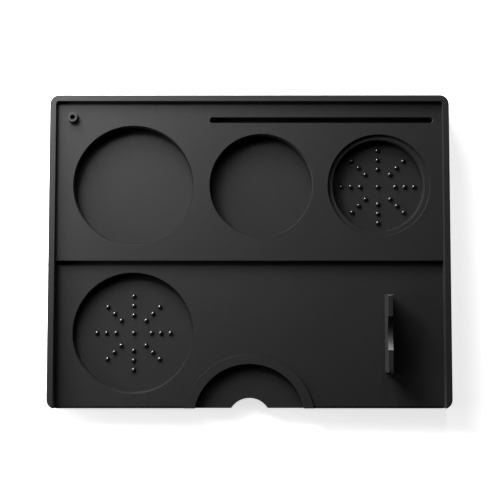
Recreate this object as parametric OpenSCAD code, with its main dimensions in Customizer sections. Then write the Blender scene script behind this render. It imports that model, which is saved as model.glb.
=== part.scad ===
// A tamping mat for a coffee counter, moulded in one piece of black silicone.
// It lies flat on its underside. X runs left to right, Y from front to back, Z up,
// and the origin is the middle of the underside. All sizes are in millimetres.

/* [Mat] */
// Width of the mat, left to right
mat_w = 300; // [290:1:360]
// Depth of the mat, front to back
mat_d = 234.6; // [230:0.1:300]
// Thickness of the lower deck at the front
lower_t = 15; // [10:0.5:24]
// Rise of the step from the lower deck to the upper deck
step_h = 4.2; // [3:0.1:10]
// Distance of the step from the back edge
step_from_back = 124.9; // [120:0.1:140]
// Radius of the four outer corners
corner_r = 6.8; // [4:0.1:15]
// Rounding of the outer edges
outer_edge_r = 0.9; // [0.3:0.1:1.5]
// Rounding of the edges of decks and recesses
edge_r = 0.4; // [0.3:0.1:1.2]
// Fillet round the floor of each recess
root_r = 1; // [0.4:0.1:2]

/* [Rim] */
// Width of the rim on the left, back and right
rim_w = 4.8; // [3:0.1:10]
// Height of the rim above the upper deck
rim_h = 4; // [2:0.1:8]
// Radius of the inner corners of the rim
rim_inner_r = 2; // [1:0.1:6]

/* [Plain recesses] */
// Diameter of the large recess at the back left
jug_dia = 90; // [70:0.5:98]
// Depth of the large recess below the upper deck
jug_depth = 10; // [4:0.5:12]
// Distance from the left edge of the mat to the wall of the left recesses
left_margin = 17.7; // [8:0.1:24]
// Distance from the back edge of the mat to the centres of the back row
row_from_back = 67.9; // [60:0.1:72]
// Diameter of the middle recess
cup_dia = 77.5; // [60:0.5:84]
// Depth of the middle recess below the upper deck
cup_depth = 10; // [4:0.5:12]
// Web between the middle recess and the stepped recess
cup_gap = 11.3; // [5:0.1:15]

/* [Stepped recess] */
// Diameter of the ledge of the stepped recess
ledge_dia = 76.8; // [72:0.1:84]
// Depth of the ledge below the upper deck
ledge_depth = 2.5; // [1.5:0.5:5]
// Diameter of the well inside the ledge
well_dia = 69.3; // [64:0.1:70]
// Depth of the well below the upper deck
well_depth = 9.5; // [6:0.5:12]
// Distance from the right edge of the mat to the wall of the stepped recess
right_margin = 14.2; // [8:0.1:18]

/* [Studded recess] */
// Diameter of the recess at the front left
rest_dia = 90; // [70:0.5:100]
// Depth of the front left recess below the lower deck
rest_depth = 7; // [4:0.5:9]
// Distance from the front edge of the mat to its centre
rest_from_front = 55.9; // [50:0.1:62]

/* [Studs] */
// Radius of one domed stud
stud_r = 1.8; // [0.8:0.05:2.5]
// Number of spokes in the pattern
stud_spokes = 8; // [4:1:12]
// Number of studs on each spoke
stud_rings = 3; // [1:1:3]
// Distance from the centre stud to the first ring
stud_first = 13.3; // [10:0.1:15]
// Distance from one ring to the next
stud_pitch = 7.2; // [5:0.1:8]

/* [Spout pocket] */
// Distance of the pocket's centre in front of the front edge
pocket_out = 8.9; // [4:0.1:14]
// Radius of the half-round pocket
pocket_r = 41.6; // [34:0.1:48]
// Depth of the pocket below the lower deck
pocket_depth = 4; // [2:0.5:8]
// Width of the raised lip round the pocket
lip_w = 7.4; // [4:0.1:10]
// Height of the raised lip above the lower deck
lip_h = 1.6; // [0.8:0.1:4]
// Radius of the spout notch through the front edge
notch_r = 16.3; // [14:0.1:20]

/* [Handle rest] */
// Thickness of the upright fin
fin_t = 3.8; // [3:0.1:8]
// Length of the fin, front to back
fin_l = 57.8; // [40:0.1:70]
// Height of the fin above the lower deck
fin_h = 20; // [12:0.5:40]
// Distance from the right edge of the mat to the middle of the fin
fin_from_right = 46.7; // [30:0.1:60]
// Radius of the fin's two top corners
fin_corner_r = 1.6; // [1:0.1:5]
// Fillet along the foot of the fin
fin_root_r = 0.4; // [0.4:0.1:3]
// Width of the scoop for the handle
scoop_w = 25; // [16:0.5:32]
// Radius of the scoop
scoop_r = 28; // [20:0.5:40]

/* [Slot] */
// Length of the slot along the back
slot_l = 168.2; // [80:0.1:180]
// Width of the slot
slot_w = 4.2; // [2:0.1:6]
// Depth of the slot
slot_depth = 6; // [3:0.5:10]
// Distance from the right edge of the mat to the slot's right end
slot_from_right = 11.7; // [8:0.1:20]
// Distance from the back edge of the mat to the slot's centre line
slot_from_back = 18.4; // [14:0.1:22]

/* [Needle boss] */
// Diameter of the boss in the back left corner
boss_dia = 7.6; // [6:0.1:12]
// Height of the boss above the upper deck
boss_h = 4; // [2:0.1:8]
// Diameter of the hole in the boss
hole_dia = 3.4; // [1.5:0.1:4.4]
// Depth of the hole from the top of the boss
hole_depth = 12; // [6:0.5:16]
// Distance from the left edge of the mat to the boss
boss_from_left = 17; // [12:0.1:24]
// Distance from the back edge of the mat to the boss
boss_from_back = 16.7; // [12:0.1:24]

/* [Hidden] */
$fn = 96;
// how far a cutter reaches past the face that it opens
over = 1;

upper_z = lower_t + step_h;
top_z = upper_z + rim_h;
half_w = mat_w / 2;
half_d = mat_d / 2;
inner_half_w = half_w - rim_w;
inner_back_y = half_d - rim_w;
step_y = half_d - step_from_back;
row_y = half_d - row_from_back;
jug_x = -half_w + left_margin + jug_dia / 2;
ledge_x = half_w - right_margin - ledge_dia / 2;
cup_x = ledge_x - ledge_dia / 2 - cup_gap - cup_dia / 2;
rest_x = -half_w + left_margin + rest_dia / 2;
rest_y = -half_d + rest_from_front;
pocket_y = -half_d - pocket_out;
lip_z = lower_t + lip_h;
lip_r = pocket_r + lip_w;
fin_x = half_w - fin_from_right;
scoop_rise = sqrt(scoop_r * scoop_r - scoop_w * scoop_w / 4);

// right half of the cross-section of a recess with its top at height 0: a rounded
// mouth that flares by edge, straight walls, and a fillet where wall meets floor
module recess_half(half, depth, edge, root) {
    translate([0, -depth]) square([half - root, depth + over]);
    translate([0, -depth + root]) square([half, depth - root + over]);
    if (root > 0) translate([half - root, -depth + root]) circle(root);
    translate([half, 0]) mouth(edge);
}

// the flare of a mouth: what lies outside a circle that rounds the edge
module mouth(edge) {
    inside = edge / 2;
    difference() {
        translate([-inside, -edge]) square([inside + edge, edge + over]);
        translate([edge, -edge]) circle(edge);
    }
}

// round recess
module dish(dia, depth, edge = edge_r, root = root_r) {
    rotate_extrude() recess_half(dia / 2, depth, edge, root);
}

// straight stretch of a recess along X, centred
module trough(length, width, depth, edge = edge_r, root = root_r) {
    rotate([90, 0, 90]) linear_extrude(length, center = true) {
        recess_half(width / 2, depth, edge, root);
        mirror([1, 0]) recess_half(width / 2, depth, edge, root);
    }
}

// half of a plate's cross-section from its middle out, with rounded edges
module plate_half(half, height, edge) {
    square([half - edge, height]);
    translate([0, edge]) square([half, height - 2 * edge]);
    translate([half - edge, edge]) circle(edge);
    translate([half - edge, height - edge]) circle(edge);
}

// straight bar along X with the plate's cross-section
module plate_bar(length, width, height, edge) {
    rotate([90, 0, 90]) linear_extrude(length, center = true) {
        plate_half(width / 2, height, edge);
        mirror([1, 0]) plate_half(width / 2, height, edge);
    }
}

// block of the whole mat up to the top of the rim, rounded on every outer edge
module block() {
    plate_bar(mat_w - 2 * corner_r, mat_d, top_z, outer_edge_r);
    rotate([0, 0, 90]) plate_bar(mat_d - 2 * corner_r, mat_w, top_z, outer_edge_r);
    for (x = [-1, 1])
        for (y = [-1, 1])
            translate([x * (half_w - corner_r), y * (half_d - corner_r), 0])
                rotate_extrude() plate_half(corner_r, top_z, outer_edge_r);
}

// space inside the rim down to the upper deck, open at the front
module upper_space() {
    reach = mat_d - rim_w - rim_inner_r + over;
    translate([0, inner_back_y - rim_inner_r - reach / 2, top_z])
        rotate([0, 0, 90]) trough(reach, 2 * inner_half_w, rim_h, edge_r, 0);
    translate([0, inner_back_y - reach, top_z])
        trough(2 * (inner_half_w - rim_inner_r), 2 * reach, rim_h, edge_r, 0);
    for (x = [-1, 1])
        translate([x * (inner_half_w - rim_inner_r), inner_back_y - rim_inner_r, top_z])
            dish(2 * rim_inner_r, rim_h, edge_r, 0);
}

// space in front of the step, down to the lower deck
module lower_space() {
    reach = step_y + half_d + over;
    translate([0, step_y - reach, upper_z])
        trough(2 * inner_half_w, 2 * reach, step_h, edge_r, 0);
}

// rounded front edge of the lower deck
module front_edge_cut() {
    translate([0, -half_d, lower_t])
        rotate([90, 0, 90]) linear_extrude(2 * inner_half_w, center = true)
            translate([outer_edge_r, 0]) mirror([1, 0]) mouth(outer_edge_r);
}

// raised half ring round the spout pocket, cut off flush with the front
module pocket_lip() {
    intersection() {
        translate([0, pocket_y, lower_t - over])
            rotate_extrude() plate_half(lip_r, lip_h + over, edge_r);
        translate([-lip_r, -half_d, 0]) cube([2 * lip_r, lip_r, top_z]);
    }
}

// half-round pocket with the spout notch through the front edge, on one centre
module spout_pocket() {
    translate([0, pocket_y, lip_z]) dish(2 * pocket_r, lip_h + pocket_depth);
    translate([0, pocket_y, -over]) cylinder(r = notch_r, h = top_z);
}

// the concave fillet between an upright wall at 0 and the deck at 0
module foot_fillet(radius) {
    inside = radius / 2;
    difference() {
        translate([-inside, -inside]) square(inside + radius);
        translate([radius, radius]) circle(radius);
    }
}

// upright fin with a scoop in its top edge
module handle_rest() {
    translate([fin_x, rest_y, lower_t]) {
        intersection() {
            rotate([90, 0, 90]) linear_extrude(fin_t, center = true) difference() {
                union() {
                    translate([-fin_l / 2, -over]) square([fin_l, fin_h + over - fin_corner_r]);
                    translate([-fin_l / 2 + fin_corner_r, 0])
                        square([fin_l - 2 * fin_corner_r, fin_h]);
                    for (y = [-1, 1])
                        translate([y * (fin_l / 2 - fin_corner_r), fin_h - fin_corner_r])
                            circle(fin_corner_r);
                }
                translate([0, fin_h + scoop_rise]) circle(scoop_r);
            }
            rotate([90, 0, 0]) linear_extrude(fin_l + 2 * over, center = true) {
                translate([0, -over]) plate_half(fin_t / 2, fin_h + over, edge_r);
                mirror([1, 0]) translate([0, -over]) plate_half(fin_t / 2, fin_h + over, edge_r);
            }
        }
        for (side = [0, 1])
            mirror([side, 0, 0])
                rotate([90, 0, 0]) linear_extrude(fin_l - 2 * fin_root_r, center = true)
                    translate([fin_t / 2, 0]) foot_fillet(fin_root_r);
    }
}

// small boss with rounded edge
module boss() {
    translate([-half_w + boss_from_left, half_d - boss_from_back, upper_z - over])
        rotate_extrude() plate_half(boss_dia / 2, boss_h + over, edge_r);
}

module boss_hole() {
    translate([-half_w + boss_from_left, half_d - boss_from_back, upper_z + boss_h])
        dish(hole_dia, hole_depth, edge_r / 2, 0);
}

// long narrow slot with round ends
module slot() {
    straight = slot_l - slot_w;
    translate([half_w - slot_from_right - slot_l / 2, half_d - slot_from_back, upper_z]) {
        trough(straight, slot_w, slot_depth, edge_r / 2, 0);
        for (x = [-1, 1])
            translate([x * straight / 2, 0, 0]) dish(slot_w, slot_depth, edge_r / 2, 0);
    }
}

// studs in spokes round a centre stud
module stud_pattern() {
    sphere(stud_r);
    for (spoke = [0 : stud_spokes - 1])
        for (ring = [0 : stud_rings - 1])
            rotate([0, 0, spoke * 360 / stud_spokes])
                translate([stud_first + ring * stud_pitch, 0, 0]) sphere(stud_r);
}

module mat() {
    color("#2a2a2a") {
        difference() {
            union() {
                difference() {
                    block();
                    upper_space();
                    lower_space();
                    front_edge_cut();
                }
                pocket_lip();
                handle_rest();
                boss();
            }
            translate([jug_x, row_y, upper_z]) dish(jug_dia, jug_depth);
            translate([cup_x, row_y, upper_z]) dish(cup_dia, cup_depth);
            translate([ledge_x, row_y, upper_z]) {
                dish(ledge_dia, ledge_depth, edge_r, edge_r);
                translate([0, 0, -ledge_depth]) dish(well_dia, well_depth - ledge_depth);
            }
            translate([rest_x, rest_y, lower_t]) dish(rest_dia, rest_depth);
            spout_pocket();
            slot();
            boss_hole();
        }
        translate([ledge_x, row_y, upper_z - well_depth]) stud_pattern();
        translate([rest_x, rest_y, lower_t - rest_depth]) stud_pattern();
    }
}

mat();
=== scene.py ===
import math

import bpy
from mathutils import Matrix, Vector

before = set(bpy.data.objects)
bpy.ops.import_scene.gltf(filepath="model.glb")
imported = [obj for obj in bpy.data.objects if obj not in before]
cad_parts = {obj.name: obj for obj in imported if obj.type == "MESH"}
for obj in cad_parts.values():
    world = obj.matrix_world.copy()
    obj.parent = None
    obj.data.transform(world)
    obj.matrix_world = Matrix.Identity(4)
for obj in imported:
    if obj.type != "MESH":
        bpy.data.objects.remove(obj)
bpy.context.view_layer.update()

# The mat: one thick slab of black food-safe silicone, pressed and cured in a steel mould.
# The mould's flats are spark-eroded, which leaves a fine matt grain. Its studs, two edges and
# the handle scoop are polished and come out smooth. Light and shade are also painted into the
# colour: a painted highlight on the scoop's front and on the rim and lip tops, and painted
# shade on the scoop's back and on the recess mouths.


class Wire:
    """A value on its way through a material: sums on it add Math nodes to the node tree."""

    def __init__(self, tree, socket=None):
        self.tree = tree
        self.socket = socket

    def node(self, kind, settings=None, inputs=None, give=0):
        """Adds a node, with its settings first and then its sockets' values or links."""
        made = self.tree.nodes.new(kind)
        for name, value in (settings or {}).items():
            setattr(made, name, value)
        for name, value in (inputs or {}).items():
            if isinstance(value, Wire):
                self.tree.links.new(value.socket, made.inputs[name])
            else:
                made.inputs[name].default_value = value
        return Wire(self.tree, made.outputs[give])

    def sum(self, operation, *values):
        return self.node("ShaderNodeMath", {"operation": operation}, dict(enumerate(values)))

    def __add__(self, other):
        return self.sum("ADD", self, other)

    def __sub__(self, other):
        return self.sum("SUBTRACT", self, other)

    def __rsub__(self, other):
        return self.sum("SUBTRACT", other, self)

    def __mul__(self, other):
        return self.sum("MULTIPLY", self, other)

    def __abs__(self):
        return self.sum("ABSOLUTE", self)

    __radd__ = __add__
    __rmul__ = __mul__

    def between(self, low, high):
        """0 below low and 1 above high, with a soft change in between."""
        span = {"Value": self, "From Min": low, "From Max": high}
        return self.node("ShaderNodeMapRange", {"interpolation_type": "SMOOTHSTEP"}, span)

    def feed(self, socket):
        self.tree.links.new(self.socket, socket)


rest_floor = (-0.0873, -0.0614, 0.008)
well_floor = (0.0974, 0.0494, 0.0097)
stud_field_r = 0.031
scoop_centre = (0.1033, -0.0614, 0.033)
scoop_y = scoop_centre[1]
scoop_reach = 0.0135
scoop_half = 0.0125
scoop_front_ramp = 0.009
fin_top = 0.035
fin_corner = (0.1033, -0.0334, 0.0341)
fin_corner_reach = 0.0026
slot_end = (0.1378, 0.0989, 0.0182)
slot_end_reach = 0.0032
deck_top = 0.0192
rim_top = 0.0232
lip_top = 0.0166

silicone = bpy.data.materials.new("black_silicone")
silicone.use_nodes = True
skin = silicone.node_tree.nodes["Principled BSDF"]
bench = Wire(silicone.node_tree)
place = bench.node("ShaderNodeTexCoord", give="Object")
facing = bench.node("ShaderNodeNewGeometry", give="Normal")


def along(axis, vector):
    """How far vector goes along one axis."""
    return bench.node("ShaderNodeSeparateXYZ", None, {"Vector": vector}, give=axis)


def speckle(size, detail=2.0, roughness=0.5):
    """Noise whose patches are about size metres across, from 0 to 1."""
    kind = {"Vector": place, "Scale": 1 / size, "Detail": detail, "Roughness": roughness}
    return bench.node("ShaderNodeTexNoise", None, kind)


def near(centre, reach):
    """1 within reach metres of centre, and 0 outside it."""
    measure = {0: place, 1: centre}
    far = bench.node("ShaderNodeVectorMath", {"operation": "DISTANCE"}, measure, give="Value")
    return 1 - far.between(reach - 0.0005, reach)


def blend(share, first, second):
    """A colour that goes from first to second as share goes from 0 to 1."""
    mixed = {0: share, 6: first, 7: second}
    return bench.node("ShaderNodeMix", {"data_type": "RGBA"}, mixed, give=2)


# Where the skin is flat, upright or bent, where it is polished, and where light and shade are
# painted: the scoop's front and back, the recess mouths, and the rim and lip tops.
height = along("Z", place)
depth = along("Y", place)
facing_up = abs(along("Z", facing))
flat = facing_up.between(0.97, 0.999)
upright = 1 - facing_up.between(0.05, 0.3)
bent = 1 - flat - upright
studs = near(rest_floor, stud_field_r) + near(well_floor, stud_field_r)
edges = near(fin_corner, fin_corner_reach) + near(slot_end, slot_end_reach)
below_fin_top = 1 - height.between(fin_top - 0.0002, fin_top)
off_centre = abs(depth - scoop_y)
in_scoop = 1 - off_centre.between(scoop_half - 0.0001, scoop_half + 0.0002)
scoop = near(scoop_centre, scoop_reach) * below_fin_top * in_scoop * facing_up.between(0.6, 0.8)
# A ramp along the scoop, 1 at its front and 0 at its back, for its painted highlight and
# painted shade.
scoop_front = 1 - depth.between(scoop_y - scoop_front_ramp, scoop_y + scoop_front_ramp)
# Polished studs and edges get a darker black, and the scoop's back half is darkened as painted
# shade.
smooth_and_scoop_shade = bent * (studs + edges) + scoop * (1 - scoop_front) * 0.9
polished = bent * (studs + edges) + scoop * scoop_front * 0.45
on_rim = height.between(rim_top - 0.001, rim_top - 0.0004)
above_lip = height.between(lip_top + 0.0006, lip_top + 0.001)
on_lip = height.between(lip_top - 0.0009, lip_top - 0.0005) * (1 - above_lip)
# The rim and lip tops: a slightly glossier rubbed finish, and a painted highlight that lightens
# their colour.
rubbed_and_highlit = flat * (on_rim + on_lip)
# Painted shade: the bent edges below the upper deck, round the recess mouths, are darkened to
# hide the lit lines on them.
shaded_mouths = bent * (1 - height.between(deck_top + 0.0001, deck_top + 0.0004)) * 0.8

# The uneven tone of the matt skin, in grains, clouds and wide drifts.
grain = speckle(0.0005, 3.0, 0.6)
clouds = speckle(0.006, 3.0, 0.6)
drift = speckle(0.07, 2.0)
tone = (clouds - 0.5) * 0.5 + (drift - 0.5) * 0.4 + (grain - 0.5) * 0.3
# lift also lightens the rim and lip tops as a painted highlight.
lift = 0.5 + tone + rubbed_and_highlit * 0.15

matt_black = (0.030, 0.030, 0.0303, 1)
dusty_black = (0.046, 0.046, 0.0463, 1)
deep_black = (0.008, 0.008, 0.0081, 1)
# The pale grey of the painted highlight on the scoop's front.
scoop_highlight_grey = (0.15, 0.15, 0.15, 1)
matt_roughness = 0.66
grained = blend(lift, matt_black, dusty_black)
# Painted highlight: the scoop's front is lightened to a pale grey.
scoop_highlighted = blend(scoop * scoop_front, grained, scoop_highlight_grey)
# Painted shade: the recess mouths are darkened to near black.
mouth_shaded = blend(shaded_mouths, scoop_highlighted, deep_black)
# The polished studs and edges are darker black, and the scoop's back is darkened as painted
# shade.
blend(smooth_and_scoop_shade, mouth_shaded, deep_black).feed(skin.inputs["Base Color"])
shine = polished * 0.2 + scoop * 0.3 + rubbed_and_highlit * 0.06
(matt_roughness + tone * 0.12 - shine).feed(skin.inputs["Roughness"])
(polished * 0.95 + rubbed_and_highlit * 0.03).feed(skin.inputs["Coat Weight"])
skin.inputs["Coat Roughness"].default_value = 0.22
skin.inputs["Coat IOR"].default_value = 2.0
skin.inputs["Specular IOR Level"].default_value = 0.4
skin.inputs["Sheen Weight"].default_value = 0.05
skin.inputs["Sheen Roughness"].default_value = 0.4
relief = (grain * 0.5 + speckle(0.0002) * 0.5) * (1 - polished * 0.8)
bump = {"Strength": 0.35, "Distance": 0.00004, "Height": relief}
bench.node("ShaderNodeBump", None, bump).feed(skin.inputs["Normal"])

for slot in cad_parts["mat"].material_slots:
    slot.material = silicone

# The table: a light table, which is a wide sheet of matt white acrylic with a faint even
# light below it, so that the sheet stays pale all round the mat.

table_width = 20
table_drop = 0.0001
bpy.ops.mesh.primitive_plane_add(size=table_width, location=(0, 0, -table_drop))
table = bpy.context.object
table.name = "table"
acrylic = bpy.data.materials.new("white_acrylic")
acrylic.use_nodes = True
sheet = Wire(acrylic.node_tree)
haze = sheet.node("ShaderNodeTexNoise", None, {"Scale": 300.0, "Detail": 2.0})
face = acrylic.node_tree.nodes["Principled BSDF"]
(0.8 + haze * 0.1).feed(face.inputs["Roughness"])
face.inputs["Base Color"].default_value = (0.86, 0.86, 0.86, 1)
face.inputs["Emission Color"].default_value = (1, 1, 1, 1)
face.inputs["Emission Strength"].default_value = 0.75
table.data.materials.append(acrylic)

# The light: two softboxes close to the back left of the mat, a low one far on the left, a wide
# one far behind, a narrow beam from high behind onto the back left corner, a strip behind on
# the right that glints on the polished forms, and a dim pale room all round.


def softbox(name, spot, wide, deep, watts, aim=(0, 0, 0), beam=180):
    """A rectangular lamp that is turned to aim and isn't seen itself; beam is in degrees."""
    lamp = bpy.data.lights.new(name, "AREA")
    lamp.shape = "RECTANGLE"
    lamp.size = wide
    lamp.size_y = deep
    lamp.energy = watts
    lamp.spread = math.radians(beam)
    stand = bpy.data.objects.new(name, lamp)
    stand.location = spot
    stand.rotation_euler = (stand.location - Vector(aim)).to_track_quat("Z", "Y").to_euler()
    stand.visible_camera = False
    bpy.context.collection.objects.link(stand)


softbox("near_softbox", (-0.28, 0.26, 0.3), 0.12, 0.12, 1.3)
softbox("second_softbox", (-0.17, 0.28, 0.26), 0.24, 0.24, 0.61)
softbox("left_softbox", (-0.65, 0, 0.22), 0.4, 0.2, 2.15)
softbox("back_softbox", (-0.6, 1.1, 0.5), 0.9, 0.5, 22.6)
softbox("corner_beam", (-0.3, 0.5, 0.7), 0.15, 0.15, 0.37, aim=(-0.25, 0.2, 0), beam=50)
softbox("glint_strip", (0.18, 0.56, 0.6), 0.07, 0.5, 0.8)

room = bpy.data.worlds.new("room")
room.use_nodes = True
room.node_tree.nodes["Background"].inputs["Color"].default_value = (1, 1, 1, 1)
room.node_tree.nodes["Background"].inputs["Strength"].default_value = 0.066
bpy.context.scene.world = room

darkest = 0.003
look = bpy.context.scene.view_settings
look.view_transform = "Standard"
look.exposure = 0
look.gamma = 0.75
look.use_curve_mapping = True
look.curve_mapping.black_level = (darkest, darkest, darkest)
look.curve_mapping.update()

# The camera: it looks almost straight down and stands a little towards the front edge. The
# picture is frame_width metres wide at the target, which lies between the two decks.

elevation = math.radians(86)
distance = 0.8
frame_width = 0.3749
target = Vector((0.0004, 0.0007, 0.018))
away = Vector((0, -math.cos(elevation), math.sin(elevation)))
lens = bpy.data.cameras.new("camera")
lens.sensor_width = 36
lens.lens = lens.sensor_width * distance / frame_width
camera = bpy.data.objects.new("camera", lens)
camera.location = target + away * distance
camera.rotation_euler = away.to_track_quat("Z", "Y").to_euler()
bpy.context.collection.objects.link(camera)
bpy.context.scene.camera = camera
